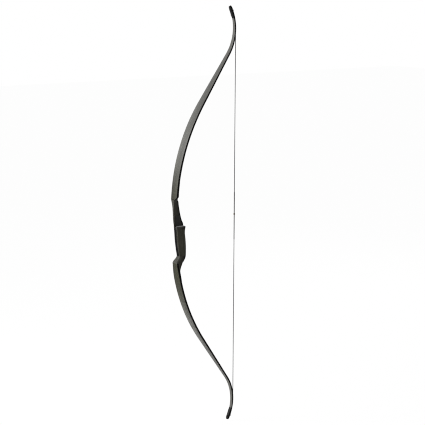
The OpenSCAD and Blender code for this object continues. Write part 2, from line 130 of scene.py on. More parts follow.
# What is glued on the riser
SLEEVE_T, SLEEVE_BELOW_SHELF, SLEEVE_ABOVE_FOOT = 1.5, 8, 2
SHELF_PAD_T, SHELF_PAD_LEN, SHELF_PAD_INSET = 1.5, 28, 2.5
STRIKE_T, STRIKE_LEN, STRIKE_H = 1.2, 18, 34
PAD_MARGIN = 5
SHELF_PAD_CORNER, STRIKE_CORNER = 4.5, 3
PAD_RIM, CROWN_INSET, PAD_CROWN = 0.4, 1.6, 0.1

# The string
STRING_R, SERVED_R, CENTRE_R = 1.1, 1.4, 1.5
CENTRE_SERVING_HALF, SERVING_OVERLAP = 80, 4
STRING_BELOW_CREST, LEG_BELOW_CREST = 4, 12
NOCK_ABOVE_SHELF = 12.5
LOCATOR_R, LOCATOR_LEN, LOCATOR_ABOVE_NOCK = 2.5, 5, 3
LOCATOR_SLIT, LOCATOR_GAP, LOCATOR_EDGE_R = 12, 0.02, 0.3
WRAP, WRAP_DEPTH = 0.7, 0.09
STRANDS_SEEN, LAY_LEN, VALLEY_SHARE = 7, 24, 0.88

BEND_LEN = BEND_R * math.radians(FLAT_HEADING - PATH_START[2])
RECURVE_LEN = RECURVE_R * math.radians(FLAT_HEADING - TIP_HEADING)
LIMB_LEN = BEND_LEN + FLAT_LEN + RECURVE_LEN + TIP_LEN
CREST_S = BEND_LEN + FLAT_LEN + RECURVE_R * math.radians(FLAT_HEADING)
NOCK_S = LIMB_LEN - NOCK_FROM_END
WINDOW_END_Z = SHELF_Z + WINDOW_H
NOCK_POINT_Z = SHELF_Z + NOCK_ABOVE_SHELF


def sin(degrees):
    return math.sin(math.radians(degrees))


def cos(degrees):
    return math.cos(math.radians(degrees))


def tan(degrees):
    return math.tan(math.radians(degrees))


def mix(a, b, share):
    return a + (b - a) * share


def ease(share):
    share = min(1, max(0, share))
    return share * share * (3 - 2 * share)


def even(first, last, steps):
    return [mix(first, last, i / steps) for i in range(steps + 1)]


# The limb's back as a path of arcs and straights, with heights counted from the bow's middle
def walk(place, length, radius):
    x, z, heading = place
    if radius == 0:
        return x + length * sin(heading), z + length * cos(heading), heading
    turned = heading + math.degrees(length / radius)
    return x + radius * (cos(heading) - cos(turned)), z + radius * (sin(turned) - sin(heading)), turned


PATH = [(PATH_START, BEND_LEN, BEND_R)]
for path_len, path_r in ((FLAT_LEN, 0), (RECURVE_LEN, -RECURVE_R), (TIP_LEN, 0)):
    PATH.append((walk(*PATH[-1]), path_len, path_r))


def limb_path(s):
    for place, length, radius in PATH:
        if s <= length or place is PATH[-1][0]:
            return walk(place, s, radius)
        s -= length


def limb_t(s):
    return mix(ROOT_T, TIP_T, s / LIMB_LEN)


def limb_w(s):
    share = s / LIMB_LEN
    taper = 1 - ease((share - TAPER_FROM) / (TAPER_TO - TAPER_FROM))
    flare = 1 - ease(share / FLARE_TO)
    return mix(TIP_W, BROAD_W, taper) - (BROAD_W - ROOT_W) * flare


def half_w(s):
    past = (s - LIMB_LEN) / TIP_ROUND_LEN + 1
    return limb_w(s) / 2 * (math.sqrt(max(TIP_LEAST, 1 - past * past)) if past > 0 else 1)


def layer_half_w(side, s):
    """Half of the width; the lower limb's root is drawn in towards the riser."""
    waist = LOWER_WAIST * (1 - ease((s - LOWER_ROOT_S) / LOWER_WAIST_LEN))
    return half_w(s) - (waist if side == LOWER else 0)


def limb_point(side, s, depth, y=0):
    """A point at a distance s along a limb and a depth below its back, in the part's frame."""
    x, z, heading = limb_path(s)
    return Vector((x + depth * cos(heading), y, MIDDLE_Z + side * (z - depth * sin(heading))))


LOOP_HALF_W = half_w(NOCK_S) - NOCK_BITE
NOCK_MIDDLE_D = (limb_t(NOCK_S) - OVERLAY_T) / 2
LOOP_HALF_T = (limb_t(NOCK_S) + OVERLAY_T) / 2 + SERVED_R + CLEARANCE
LOOP_REACH = (LOOP_HALF_T - NOCK_DEPTH / 2) / cos(NOCK_SLANT)
GROOVE_R = SERVED_R + CLEARANCE
CROSSING_S = NOCK_S + (LOOP_HALF_T - NOCK_DEPTH) * tan(NOCK_SLANT)
LEG_S = NOCK_S - LOOP_HALF_T * tan(NOCK_SLANT) - 2 * SERVED_R - CLEARANCE
STRING_X = limb_point(UPPER, CREST_S, limb_t(CREST_S) + CLEARANCE + SERVED_R).x
CREST_Z = limb_path(CREST_S)[1]


def line_at(points, z):
    """A smooth line through points (z, value) that never overshoots them."""
    i = 0
    while i < len(points) - 2 and z >= points[i + 1][0]:
        i += 1

    def slope(k):
        return (points[k + 1][1] - points[k][1]) / (points[k + 1][0] - points[k][0])

    def tangent(k):
        if k == 0 or k == len(points) - 1:
            return slope(min(k, len(points) - 2))
        before, after = slope(k - 1), slope(k)
        return 0 if before * after <= 0 else 2 * before * after / (before + after)

    gap = points[i + 1][0] - points[i][0]
    t = min(1, max(0, (z - points[i][0]) / gap))
    return (points[i][1] * (1 + 2 * t) * (1 - t) ** 2 + tangent(i) * gap * t * (1 - t) ** 2
            + points[i + 1][1] * t * t * (3 - 2 * t) + tangent(i + 1) * gap * t * t * (t - 1))


# The riser's outlines seen from the side and from the back, and the radii of its corners, by height
UPPER_STEP_Z = MIDDLE_Z + PATH_START[1]
LOWER_ROOT = limb_point(LOWER, LOWER_ROOT_S, 0)
LOWER_STEP_Z = LOWER_ROOT.z
UPPER_BELLY = limb_point(UPPER, 0, ROOT_T).x + UPPER_FADE_T
LOWER_BELLY = limb_point(LOWER, LOWER_ROOT_S, limb_t(LOWER_ROOT_S)).x + LOWER_FADE_T
BACK_LINE = [
    (LOWER_STEP_Z, LOWER_ROOT.x), (LOWER_STEP_Z + 2.5, LOWER_ROOT.x + 0.3),
    (-GRIP_FOOT_Z - 4, -GRIP_FOOT_DEPTH - 1.5), (-GRIP_FOOT_Z, -GRIP_FOOT_DEPTH),
    (-GRIP_FOOT_Z + 22, -GRIP_FOOT_DEPTH - 3.4), (-10, -(GRIP_FOOT_DEPTH + 2 * GRIP_TOP_DEPTH) / 3 - 1.2),
    (SHELF_Z - 12, -GRIP_TOP_DEPTH), (SHELF_Z, -RISER_BACK), (SHELF_Z + 27, -RISER_BACK),
    (WINDOW_END_Z - 6, -RISER_BACK - 0.7), (UPPER_STEP_Z, PATH_START[0])]
BELLY_LINE = [
    (LOWER_STEP_Z, LOWER_BELLY), (-GRIP_FOOT_Z - 3, HEEL_OUT - 1.4), (-GRIP_FOOT_Z + 1, HEEL_OUT - 0.4),
    (-40, HEEL_OUT), (-12, HEEL_OUT * 0.64), (14, 0), (SHELF_Z - 6, BEAK_OUT * 0.5),
    (SHELF_Z + 1, BEAK_OUT), (SHELF_Z + 8, 0.1), (SHELF_Z + 18.5, -5.1), (SHELF_Z + 32, -9.1),
    (SHELF_Z + 46, -12.4), (SHELF_Z + 59, -14.8), (SHELF_Z + 74, -17.5), (SHELF_Z + 82, -20.1),
    (UPPER_STEP_Z, UPPER_BELLY)]
FAR_LINE = [
    (LOWER_STEP_Z, layer_half_w(LOWER, LOWER_ROOT_S)), (-GRIP_FOOT_Z, GRIP_HALF_W - 0.2),
    (-20, GRIP_HALF_W), (SHELF_Z - 15, GRIP_HALF_W + 0.5), (SHELF_Z, SHELF_HALF_W - 1.2),
    (SHELF_Z + 20, 15.3), (WINDOW_END_Z - 6, 16.1), (UPPER_STEP_Z, half_w(0))]
NEAR_LINE = [
    (LOWER_STEP_Z, layer_half_w(LOWER, LOWER_ROOT_S)), (-GRIP_FOOT_Z, GRIP_HALF_W - 0.2),
    (-20, GRIP_HALF_W), (SHELF_Z - 15, GRIP_HALF_W + 0.7), (SHELF_Z - 5, SHELF_HALF_W - 0.5),
    (SHELF_Z, SHELF_HALF_W), (SHELF_Z + 20, 16), (UPPER_STEP_Z, half_w(0))]
BACK_FAR_R = [
    (LOWER_STEP_Z, 1.2), (-GRIP_FOOT_Z, 6.5), (20, 7), (SHELF_Z, 9.5),
    (SHELF_Z + 20, 6), (WINDOW_END_Z, 3), (UPPER_STEP_Z, 1.2)]
BACK_NEAR_R = [
    (LOWER_STEP_Z, 1.2), (-GRIP_FOOT_Z, 6.5), (SHELF_Z, 7.5), (SHELF_Z + 20, 4), (UPPER_STEP_Z, 1.2)]
BELLY_FAR_R = [
    (LOWER_STEP_Z, 2), (-GRIP_FOOT_Z, 11), (SHELF_Z - 5, 11.5),
    (SHELF_Z + 20, 6), (WINDOW_END_Z, 3), (UPPER_STEP_Z, 1.2)]
BELLY_NEAR_R = [
    (LOWER_STEP_Z, 2), (-GRIP_FOOT_Z, 11), (SHELF_Z, 11.5), (SHELF_Z + 20, 4), (UPPER_STEP_Z, 1.2)]
CORNER_STEPS = 9
LEAST_R, LEAST_GAP = 0.3, 0.05


def rounded_outline(back, belly, near, far, radii, steps=CORNER_STEPS):
    """Points (x, y) round a rectangle. Corners and radii go belly-far, back-far, back-near, belly-near."""
    most = min((belly - back) / 2, (far - near) / 2) - LEAST_GAP
    corners = ((belly, far, 1, 1), (back, far, -1, 1), (back, near, -1, -1), (belly, near, 1, -1))
    points = []
    for k, (x, y, sx, sy) in enumerate(corners):
        r = max(LEAST_GAP, min(radii[k], most))
        for i in range(steps + 1):
            turn = 90 * k + 90 * i / steps
            points.append((x - sx * r + r * cos(turn), y - sy * r + r * sin(turn)))
    return points


def window_y(z):
    """The near side of what the sight window leaves at a height z above the shelf."""
    up = min(1, max(0, (z - WINDOW_END_Z) / WINDOW_TOP_R))
    return WINDOW_PAST - WINDOW_TOP_R * (1 - math.sqrt(1 - up * up))


def riser_outline(z, inset=0, cut=False, near_inset=0):
    """The riser's outline at a height z. Where the window cuts it, the far corners keep their rounding."""
    back, belly = line_at(BACK_LINE, z) + inset, line_at(BELLY_LINE, z) - inset
    near, far = -line_at(NEAR_LINE, z) + inset + near_inset, line_at(FAR_LINE, z) - inset
    radii = [max(LEAST_R, line_at(points, z) - inset)
             for points in (BELLY_FAR_R, BACK_FAR_R, BACK_NEAR_R, BELLY_NEAR_R)]
    if not cut or window_y(z) <= near:
        return rounded_outline(back, belly, near, far, radii)
    most = min((belly - back) / 2, (far - near) / 2) - LEAST_GAP
    wall, edge = window_y(z) + WALL_EDGE_R, WALL_EDGE_R
    arcs = []
    for sx, x, r in ((1, belly, min(radii[0], most)), (-1, back, min(radii[1], most))):
        low = math.degrees(math.asin(max(0, (wall + LEAST_GAP - far + r) / r)))
        arcs.append([(x - sx * r * (1 - cos(turn)), far - r * (1 - sin(turn)))
                     for turn in even(low, 90, CORNER_STEPS)])
    points = arcs[0] + arcs[1][::-1]
    back_x, belly_x = arcs[1][0][0] + edge, arcs[0][0][0] - edge
    for x, first in ((back_x, 180), (belly_x, 270)):
        points += [(x + edge * cos(turn), wall + edge * sin(turn))
                   for turn in even(first, first + 90, CORNER_STEPS)]
    return points


# Modelling helpers
def outward(piece, smooth):
    """Turns all faces outwards and shades the piece smooth up to an angle."""
    bpy.ops.object.select_all(action="DESELECT")
    piece.select_set(True)
    bpy.context.view_layer.objects.active = piece
    bpy.ops.object.mode_set(mode="EDIT")
    bpy.ops.mesh.select_all(action="SELECT")
    bpy.ops.mesh.normals_make_consistent(inside=False)
    bpy.ops.object.mode_set(mode="OBJECT")
    bpy.ops.object.shade_smooth_by_angle(angle=math.radians(smooth))


def lay_out(piece, rings, place_of):
    """Moves a primitive's vertices onto rings of points. The map holds metres along and the share round them."""
    mesh = piece.data
    sides = len(rings[0])
    centres = [sum(ring, Vector()) / sides for ring in rings]
    along = [0]
    for first, second in zip(centres, centres[1:]):
        along.append(along[-1] + (second - first).length)
    places = [place_of(vertex.co) for vertex in mesh.vertices]
    for vertex, (row, side) in zip(mesh.vertices, places):
        if row < 0:
            vertex.co = centres[0] * MM
        elif row >= len(rings):
            vertex.co = centres[-1] * MM
        else:
            vertex.co = rings[row][side % sides] * MM
    layer = mesh.uv_layers[0]
    layer.name = "Along"
    for face in mesh.polygons:
        rows = [places[mesh.loops[i].vertex_index] for i in face.loop_indices]
        round_end = max(side for _, side in rows) - min(side for _, side in rows) > sides / 2
        for i, (row, side) in zip(face.loop_indices, rows):
            if round_end and side < sides / 2:
                side += sides
            row = min(len(rings) - 1, max(0, row))
            layer.data[i].uv = (along[row] * MM, side / sides)


def lofted(name, rings, smooth):
    """A closed skin through rings of points, shaped from a sphere: its poles close the two ends."""
    sides, bands = len(rings[0]), len(rings) + 1
    bpy.ops.object.select_all(action="DESELECT")
    bpy.ops.mesh.primitive_uv_sphere_add(segments=sides, ring_count=bands, radius=1)
    piece = bpy.context.object
    piece.name = name

    def place_of(co):
        row = round(math.acos(max(-1, min(1, co.z))) / math.pi * bands) - 1
        return row, round(math.atan2(co.y, co.x) / (2 * math.pi) * sides) % sides

    lay_out(piece, rings, place_of)
    outward(piece, smooth)
    return piece


def looped(name, rings, smooth):
    """A skin through rings whose last joins the first, shaped from a torus."""
    sides, bands = len(rings[0]), len(rings)
    bpy.ops.object.select_all(action="DESELECT")
    bpy.ops.mesh.primitive_torus_add(major_segments=bands, minor_segments=sides, major_radius=1,
                                     minor_radius=0.25, generate_uvs=True)
    piece = bpy.context.object
    piece.name = name

    def place_of(co):
        row = round(math.atan2(co.y, co.x) / (2 * math.pi) * bands) % bands
        out = math.hypot(co.x, co.y) - 1
        return row, round(math.atan2(co.z, out) / (2 * math.pi) * sides) % sides

    lay_out(piece, rings, place_of)
    outward(piece, smooth)
    return piece


def pick(piece, kind, test):
    """Selects in edit mode the edges or faces whose middle and direction pass a test."""
    bpy.ops.object.mode_set(mode="OBJECT")
    bpy.context.tool_settings.mesh_select_mode = (False, kind == "EDGE", kind == "FACE")
    mesh = piece.data
    for parts in (mesh.vertices, mesh.edges, mesh.polygons):
        parts.foreach_set("select", [False] * len(parts))
    if kind == "EDGE":
        for edge in mesh.edges:
            first, last = (mesh.vertices[i].co for i in edge.vertices)
            edge.select = test((first + last) / 2, (last - first).normalized())
    else:
        for face in mesh.polygons:
            face.select = test(face.center, face.normal)
    bpy.ops.object.mode_set(mode="EDIT")


def paint(piece, material, slot):
    piece.data.materials.clear()
    piece.data.materials.append(material)


# Shader maths as plain expressions
class Field:
    """A value that changes over a surface. Arithmetic on it adds Math nodes."""

    def __init__(self, finish, socket):
        self.finish = finish
        self.socket = socket

    def math(self, operation, other=0.0):
        return self.finish.node("ShaderNodeMath", {"operation": operation}, {0: self, 1: other})

    def __add__(self, other):
        return self.math("ADD", other)

    def __sub__(self, other):
        return self.math("SUBTRACT", other)

    def __mul__(self, other):
        return self.math("MULTIPLY", other)


class Finish:
    """A procedural material of the bow."""

    def __init__(self, name, **plain):
        self.material = bpy.data.materials.new(name)
        self.material.use_nodes = True
        self.nodes = self.material.node_tree.nodes
        self.links = self.material.node_tree.links
        self.shader = self.nodes["Principled BSDF"]
        self.feed(self.shader, plain)

    def feed(self, node, values):
        for key, value in values.items():
            socket = node.inputs[key.replace("_", " ") if isinstance(key, str) else key]
            if isinstance(value, Field):
                self.links.new(value.socket, socket)
            else:
                socket.default_value = value

    def node(self, kind, settings, values, output=0):
        made = self.nodes.new(kind)
        for key, value in settings.items():
            setattr(made, key, value)
        self.feed(made, values)
        return Field(self, made.outputs[output])

    def surface(self, **values):
        self.feed(self.shader, values)
        return self.material

    def place(self, scale, source="Object"):
        where = self.node("ShaderNodeTexCoord", {}, {}, source)
        return self.node("ShaderNodeMapping", {}, {"Vector": where, "Scale": scale})

    def noise(self, place, detail=3.0, roughness=0.5):
        return self.node("ShaderNodeTexNoise", {},
                         {"Vector": place, "Scale": 1.0, "Detail": detail, "Roughness": roughness})

    def cells(self, place, feature, **values):
        return self.node("ShaderNodeTexVoronoi", {"feature": feature}, {"Vector": place, "Scale": 1.0, **values})

    def between(self, low, high, share):
        low, high = (colour if isinstance(colour, Field) else (*colour, 1) for colour in (low, high))
        return self.node("ShaderNodeMix", {"data_type": "RGBA"}, {0: share, 6: low, 7: high}, 2)

    def span(self, share, low, high):
        """A share from 0 to 1 stretched over a range."""
        return share * (high - low) + low

    def sharpen(self, share, low, high):
        return self.node("ShaderNodeMapRange", {"interpolation_type": "SMOOTHSTEP"},
                         {"Value": share, "From Min": low, "From Max": high})

    def band(self, share, low, high, soft):
        """1 where the share lies between low and high, and 0 beyond soft ends."""
        return self.sharpen(share, low - soft, low) - self.sharpen(share, high, high + soft)

    def mapped(self, source, axis):
        """One coordinate of the map (X along a piece, Y round it) or of the object."""
        where = self.node("ShaderNodeTexCoord", {}, {}, source)
        return self.node("ShaderNodeSeparateXYZ", {}, {"Vector": where}, axis)

    def bump(self, height, depth):
        return self.node("ShaderNodeBump", {}, {"Height": height, "Distance": depth, "Strength": 1.0})


# The finishes. Colours are linear, heights metres, and shares count round a piece from its belly's far side
# Black of the stained edges, also used as painted shade on the riser's back along the grip
STAIN_AND_SHADE = (0.0022, 0.0021, 0.0018)


def riser_lacquer():
    """Dark laminated hardwood under satin lacquer: grain along the riser, its belly edges stained black."""
    finish = Finish("riser_lacquer", Coat_Roughness=0.24, Specular_IOR_Level=0.1)
    grain = finish.noise(finish.place((240, 240, 10)), 5.0, 0.6)
    figure = finish.noise(finish.place((75, 75, 5)), 3.0, 0.55)
    pores = finish.sharpen(finish.noise(finish.place((900, 900, 60)), 2.0), 0.58, 0.72)
    cloud = finish.noise(finish.place((30, 30, 12)), 2.0)
    wood = finish.between((0.0120, 0.0110, 0.0078), (0.053, 0.0495, 0.0365), grain * 0.55 + figure * 0.45)
    round_share = finish.mapped("UV", "Y")
    height = finish.mapped("Object", "Z")
    # Stained black: the belly's near corner and the edge of the window's wall. Painted shade, black as well: the
    # back along the grip
    back = finish.band(round_share, 0.30, 0.50, 0.04)
    wall_edge = finish.band(round_share, 0.7462, 0.78, 0.0012) * finish.band(height, 0.038, 0.122, 0.004)
    dark = finish.band(round_share, 0.77, 1.1, 0.05) + back * finish.band(height, -0.064, 0.030, 0.004)
    dark = dark.math("MAXIMUM", wall_edge)
    # Painted light: the near side of the back above the window and below the grip is painted paler, as if lit
    at_roots = finish.band(height, 0.105, 0.3, 0.015) + finish.band(height, -0.3, -0.068, 0.003)
    painted_light_back = finish.band(round_share, 0.42, 0.57, 0.05) * at_roots
    stained_and_shaded = finish.between(wood, STAIN_AND_SHADE, dark)
    return finish.surface(Base_Color=finish.between(stained_and_shaded, (0.062, 0.060, 0.047), painted_light_back * 0.85),
                          Roughness=finish.span(cloud, 0.34, 0.48) + pores * 0.05,
                          Coat_Weight=finish.span(dark, 0.34, 0.04),
                          Normal=finish.bump(grain - pores * 0.6, 0.00006))


def grip_leather():
    """Thin dark leather, browner and rubbed at the sides. Its front is painted black and dull as shade, and its
    corner towards the belly is painted a darker olive as shade.
    """
    finish = Finish("grip_leather", Coat_Roughness=0.42, Specular_IOR_Level=0.04)
    grain = finish.cells(finish.place((1100, 1100, 1100)), "SMOOTH_F1", Smoothness=0.6)
    folds = finish.noise(finish.place((260, 260, 90)), 4.0, 0.6)
    rub = finish.noise(finish.place((38, 38, 16)), 2.0)
    streaks = finish.sharpen(finish.noise(finish.place((420, 420, 22)), 3.0, 0.55), 0.3, 0.7)
    round_share = finish.mapped("UV", "Y")
    sides = finish.between((0.0170, 0.0164, 0.0105), (0.068, 0.0645, 0.0465), rub * 0.35 + streaks * 0.65)
    # Painted shade: the corner towards the belly is darker and olive
    sides_and_shaded_rear = finish.between(sides, (0.0150, 0.0162, 0.0080), finish.band(round_share, 0.88, 1.1, 0.18))
    # Painted shade: the front is painted black, with no coat
    painted_shade_front = finish.band(round_share, 0.30, 0.505, 0.03)
    return finish.surface(Base_Color=finish.between(sides_and_shaded_rear, (0.0016, 0.0014, 0.0012), painted_shade_front),
                          Roughness=finish.span(rub, 0.55, 0.42) + grain * 0.12,
                          Coat_Weight=finish.span(painted_shade_front, 0.34, 0.0),
                          Normal=finish.bump(grain + folds * 0.8, 0.00016))


def facing_glass(name, dark, light, rough):
    """Glass laminate: fibres along the limb under a satin face. Its ground edges are stained black."""
    finish = Finish(name, Coat_Roughness=rough, Specular_IOR_Level=0.12)
    fibres = finish.noise(finish.place((60, 290, 1), "UV"), 3.0, 0.7)
    bundles = finish.noise(finish.place((9, 42, 1), "UV"), 2.0)
    streaks = finish.sharpen(finish.noise(finish.place((4, 13, 1), "UV"), 3.0, 0.6), 0.28, 0.72)
    cloud = finish.noise(finish.place((14, 2, 1), "UV"), 2.0)
    # Near the riser the glass is painted darker and less glossy, as painted shade; out on the limb, beyond its
    # root, it is lighter and glossier
    out = finish.sharpen((finish.mapped("Object", "Z") + 0.02).math("ABSOLUTE"), 0.12, 0.32)
    weave = fibres * 0.3 + bundles * 0.2 + streaks * 0.5
    painted_shade_dark = [c * 0.45 for c in dark]
    painted_shade_light = [c * share for c, share in zip(dark, (1.25, 1.25, 0.7))]
    painted_shade_glass = finish.between(painted_shade_dark, painted_shade_light, weave)
    glass = finish.between(painted_shade_glass, finish.between(dark, light, weave), out)
    edge = finish.band((finish.mapped("UV", "Y") * 2).math("FRACT"), 0.2, 0.68, 0.14)
    return finish.surface(Base_Color=finish.between(glass, STAIN_AND_SHADE, edge),
                          Roughness=finish.span(cloud, 0.5, 0.6) + fibres * 0.05,
                          Coat_Weight=finish.span(edge, 1.0, 0.0) * finish.span(out, 0.1, 0.72),
                          Normal=finish.bump(fibres + bundles, 0.00003))


def core_edge():
    """The cores' edges: maple dyed black and lacquered, with the grain still faint."""
    finish = Finish("core_edge", Specular_IOR_Level=0.05)
    grain = finish.noise(finish.place((40, 100, 1), "UV"), 4.0, 0.6)
    colour = finish.between((0.0014, 0.0013, 0.0011), (0.0048, 0.0042, 0.0034), grain)
    return finish.surface(Base_Color=colour, Roughness=finish.span(grain, 0.5, 0.66),
                          Normal=finish.bump(grain, 0.00004))


def overlay_phenolic():
    finish = Finish("overlay_phenolic", Specular_IOR_Level=0.15)
    cloud = finish.noise(finish.place((160, 160, 160)), 4.0)
    colour = finish.between((0.0018, 0.0018, 0.0018), (0.0052, 0.0050, 0.0046), cloud)
    return finish.surface(Base_Color=colour, Roughness=finish.span(cloud, 0.34, 0.48),
                          Normal=finish.bump(cloud, 0.00004))


def serving_thread():
    """Waxed thread wound tight; the turns are in the mesh, the fibres of the thread here."""
    finish = Finish("serving_thread", Specular_IOR_Level=0.15)
    fibres = finish.noise(finish.place((2600, 4.5, 1), "UV"), 3.0, 0.6)
    colour = finish.between((0.0030, 0.0030, 0.0032), (0.0095, 0.0093, 0.0092), fibres)
    return finish.surface(Base_Color=colour, Roughness=finish.span(fibres, 0.5, 0.75),
                          Normal=finish.bump(fibres, 0.00005))


def string_strands():
    finish = Finish("string_strands", Specular_IOR_Level=0.08)
    fibres = finish.noise(finish.place((26, 330, 1), "UV"), 3.0, 0.6)
    colour = finish.between((0.0024, 0.0024, 0.0025), (0.0090, 0.0088, 0.0086), fibres)
    return finish.surface(Base_Color=colour, Roughness=finish.span(fibres, 0.42, 0.62),
                          Normal=finish.bump(fibres, 0.00005))


def pad_felt():
    finish = Finish("pad_felt", Sheen_Weight=0.4, Sheen_Roughness=0.6, Specular_IOR_Level=0.1)
    pile = finish.noise(finish.place((1500, 1500, 1500)), 5.0, 0.8)
    nap = finish.noise(finish.place((240, 240, 240)), 3.0)
    colour = finish.between((0.020, 0.0195, 0.0175), (0.062, 0.060, 0.054), pile * 0.7 + nap * 0.3)
    return finish.surface(Base_Color=colour, Roughness=finish.span(pile, 0.85, 1.0),
                          Normal=finish.bump(pile + nap, 0.0003))


def strike_leather():
    finish = Finish("strike_leather", Specular_IOR_Level=0.25)
    grain = finish.cells(finish.place((1400, 1400, 1400)), "F1")
    cloud = finish.noise(finish.place((120, 120, 120)), 3.0)
    colour = finish.between((0.010, 0.0098, 0.0090), (0.024, 0.023, 0.021), cloud)
    return finish.surface(Base_Color=colour, Roughness=finish.span(cloud, 0.6, 0.8),
                          Normal=finish.bump(grain + cloud, 0.00012))


def locator_brass():
    """Brass browned by age and handling, so that it hardly shows on the dark string."""
    finish = Finish("locator_brass", Metallic=1.0)
    brushed = finish.noise(finish.place((500, 500, 2600)), 3.0)
    tarnish = finish.noise(finish.place((420, 420, 420)), 3.0)
    colour = finish.between((0.035, 0.027, 0.017), (0.150, 0.112, 0.062), tarnish)
    return finish.surface(Base_Color=colour, Roughness=finish.span(brushed, 0.30, 0.48),
                          Normal=finish.bump(brushed, 0.00002))


LACQUER = riser_lacquer()
LEATHER = grip_leather()
BACK_GLASS = facing_glass("back_glass", (0.042, 0.0415, 0.0350), (0.188, 0.186, 0.168), 0.34)
BELLY_GLASS = facing_glass("belly_glass", (0.008, 0.008, 0.0068), (0.026, 0.0255, 0.021), 0.32)
CORE = core_edge()
OVERLAY = overlay_phenolic()
THREAD = serving_thread()
STRANDS = string_strands()
FELT = pad_felt()
STRIKE = strike_leather()
BRASS = locator_brass()


# The riser, one block from the feather edge of its lower fade to that of the upper one
def fade_t(side, s, root_s, thickness):
    slant = UPPER_SLANT if side == UPPER else LOWER_SLANT
    return line_at([(root_s, thickness), (root_s + slant, FADE_TOE_T), (root_s + FADE_LEN, FEATHER_T)], s)


def fade_ring(side, s, root_s, thickness, cut=False):
    """A slice of the wedge under a limb's root, square to the limb, with its corners slightly rounded."""
    top, bottom = limb_t(s), limb_t(s) + fade_t(side, s, root_s, thickness)
    far = layer_half_w(side, s)
    near = -far
    if cut:
        near = max(near, window_y(limb_point(side, s, top).z))
    reach = min(FADE_EDGE_R, (bottom - top) * 0.45)
    outline = rounded_outline(top, bottom, near, far, (reach, LEAST_R, LEAST_R, reach))
    return [limb_point(side, s, depth, y) for depth, y in outline]


def step_ring(side, s, thickness, cut=False):
    """The riser's end face, where a limb butts against it."""
    bottom = limb_t(s) + thickness
    far = layer_half_w(side, s)
    near = max(-far, window_y(limb_point(side, s, 0).z)) if cut else -far
    outline = rounded_outline(0, bottom, near, far, (FADE_EDGE_R, STEP_EDGE_R, STEP_EDGE_R, FADE_EDGE_R))
    return [limb_point(side, s, depth, y) for depth, y in outline]


def riser_rings():
    """The riser's rings from the lower fade's feather edge up to the upper one's."""
    sleeve_foot, sleeve_top = SLEEVE_ABOVE_FOOT - GRIP_FOOT_Z, SHELF_Z - SLEEVE_BELOW_SHELF
    seat, chamfer, heel_h, shelf_edge = SLEEVE_T + 0.1, 0.6, 17, 1.2
    # Neighbouring rings stay apart, because a skin with doubled points isn't closed
    apart = 0.02

    def flat(z, inset=0, cut=False, near_inset=0):
        return [Vector((x, y, z)) for x, y in riser_outline(z, inset, cut, near_inset)]

    lower_fade = [LOWER_ROOT_S + max(apart, FADE_LEN * (1 - i / 16)) for i in range(17)]
    rings = [fade_ring(LOWER, s, LOWER_ROOT_S, LOWER_FADE_T) for s in lower_fade]
    rings.append(step_ring(LOWER, LOWER_ROOT_S, LOWER_FADE_T))
    rings += [flat(z) for z in even(-GRIP_FOOT_Z - heel_h, sleeve_foot - chamfer, 20)]
    rings += [flat(sleeve_foot, chamfer), flat(sleeve_foot, seat)]
    rings += [flat(sleeve_top, seat), flat(sleeve_top, chamfer)]
    rings += [flat(z) for z in even(sleeve_top + chamfer, SHELF_Z - shelf_edge, 6)]
    rings += [flat(SHELF_Z - 0.4, near_inset=0.35), flat(SHELF_Z - 0.01, near_inset=shelf_edge)]
    rings += [flat(z, cut=True) for z in [SHELF_Z] + even(SHELF_Z + 1, WINDOW_END_Z, 32)]
    rings += [flat(WINDOW_END_Z + WINDOW_TOP_R * sin(a), cut=True) for a in range(5, 44, 3)]
    rings.append(step_ring(UPPER, 0, UPPER_FADE_T, True))
    upper_fade = [apart] + even(0.9, 8.1, 8) + [9.5] + even(11.5, FADE_LEN, 16)
    rings += [fade_ring(UPPER, s, 0, UPPER_FADE_T, True) for s in upper_fade]
    return rings


def make_riser():
    riser = lofted("riser", riser_rings(), 50)
    paint(riser, LACQUER, "riser_wood")
    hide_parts("riser_block")
    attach(riser, "riser")


def make_grip():
    """A leather sleeve with rolled ends round the grip."""
    foot, top = SLEEVE_ABOVE_FOOT - GRIP_FOOT_Z, SHELF_Z - SLEEVE_BELOW_SHELF
    # The rolled end as steps in height and depth, and how far the leather's inner face starts inside
    roll_h, inside = 1.6, 3
    roll = [(0, SLEEVE_T - 0.05), (0, 0.75), (0.2, 0.3), (0.7, 0.02)]
    outer = [(foot + z, inset) for z, inset in roll]
    outer += [(z, 0) for z in even(foot + roll_h, top - roll_h, 40)]
    outer += [(top - z, inset) for z, inset in reversed(roll)]
    inner = [(z, SLEEVE_T - 0.03) for z in even(top - inside, foot + inside, 12)]
    rings = [[Vector((x, y, z)) for x, y in riser_outline(z, inset)] for z, inset in outer + inner]
    grip = looped("grip_wrap", rings, 50)
    paint(grip, LEATHER, "grip_leather")
    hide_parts("grip_sleeve")
    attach(grip, "riser")


def cut_pad(name, low, high, out, corner):
    """A thin pad cut from sheet: round corners, a softened rim and a slightly crowned outer face."""
    low, high = Vector(low), Vector(high)
    bpy.ops.object.select_all(action="DESELECT")
    bpy.ops.mesh.primitive_cube_add(size=MM, location=(low + high) / 2 * MM, scale=high - low)
    pad = bpy.context.object
    pad.name = name
    bpy.ops.object.transform_apply(location=True, rotation=False, scale=True)
    pick(pad, "EDGE", lambda middle, along: abs(along.dot(out)) > 0.9)
    bpy.ops.mesh.bevel(offset=corner * MM, segments=9, affect="EDGES")
    pick(pad, "FACE", lambda middle, normal: normal.dot(out) > 0.9)
    bpy.ops.mesh.region_to_loop()
    bpy.ops.mesh.bevel(offset=PAD_RIM * MM, segments=4, affect="EDGES")
    pick(pad, "FACE", lambda middle, normal: normal.dot(out) > 0.999)
    bpy.ops.mesh.inset(thickness=CROWN_INSET * MM, depth=PAD_CROWN * MM)
    bpy.ops.object.mode_set(mode="OBJECT")
    outward(pad, 50)
    return pad


